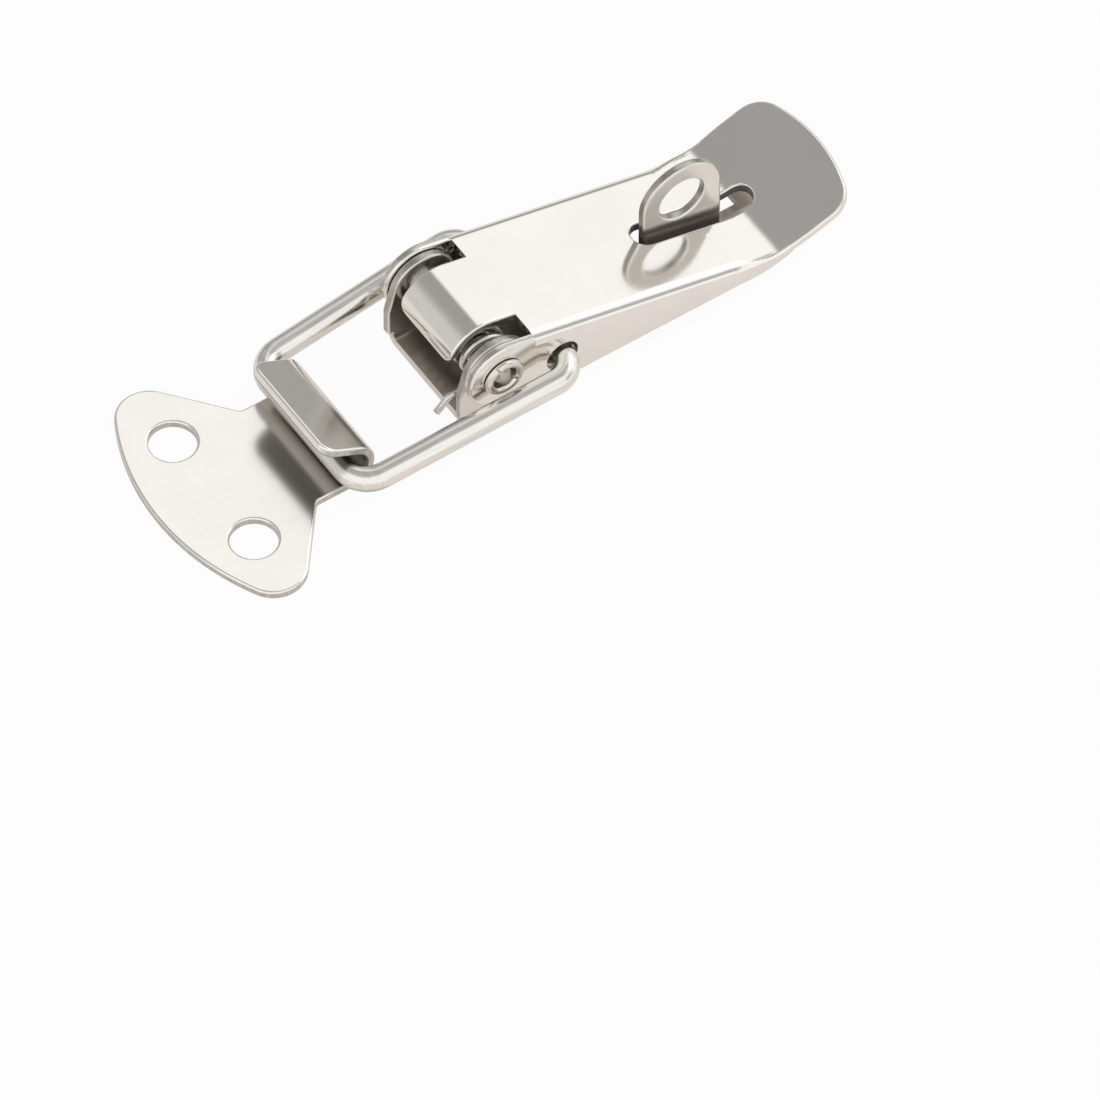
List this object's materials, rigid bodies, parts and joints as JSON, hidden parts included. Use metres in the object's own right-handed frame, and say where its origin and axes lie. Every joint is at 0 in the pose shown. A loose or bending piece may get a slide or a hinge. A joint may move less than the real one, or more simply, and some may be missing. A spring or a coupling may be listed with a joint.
{
  "type": "toggle latch",
  "caption": "Spring-loaded draw latch: a folded lever with a thumb tab on a riveted base with a padlock eye, a wire bail and a hooked keeper plate.",
  "frame": {"origin": "midway between the base's screw holes, on the mounting face", "axes": "+X from the keeper towards the thumb tab, +Y across the latch, +Z away from the mounting face"},
  "size_m": [0.0725, 0.027, 0.0124],
  "materials": {
    "base_sheet": "polished",
    "lever_sheet": "polished",
    "keeper_sheet": "polished",
    "bail_wire": "drawn and polished",
    "rivet_steel": "polished",
    "spring_steel": "drawn"
  },
  "bodies": {
    "base": {"base_plate": "base_sheet", "pivot_rivet": "rivet_steel", "torsion_spring": "spring_steel"},
    "lever": {"lever": "lever_sheet"},
    "bail": {"bail_loop": "bail_wire"},
    "keeper": {"keeper_plate": "keeper_sheet"}
  },
  "joints": [
    {"name": "lever_hinge", "type": "hinge", "parent": "base", "child": "lever", "pos_m": [-0.02305, 0, 0.0066], "axis": [0, -1, 0], "range_deg": [0, 90], "stiffness_Nm_per_rad": 0.002, "springref_deg": -22.92, "deforming": ["torsion_spring"]},
    {"name": "bail_hinge", "type": "hinge", "parent": "lever", "child": "bail", "pos_m": [-0.01655, 0, 0.00495], "axis": [0, -1, 0], "range_deg": [-67, 0]},
    {"name": "keeper_slide", "type": "slide", "parent": "base", "child": "keeper", "axis": [1, 0, 0], "range_m": [0, 0.006]}
  ],
  "couplings": [
    {"joint": "bail_hinge", "follows": "lever_hinge", "ratio": -0.7375}
  ]
}
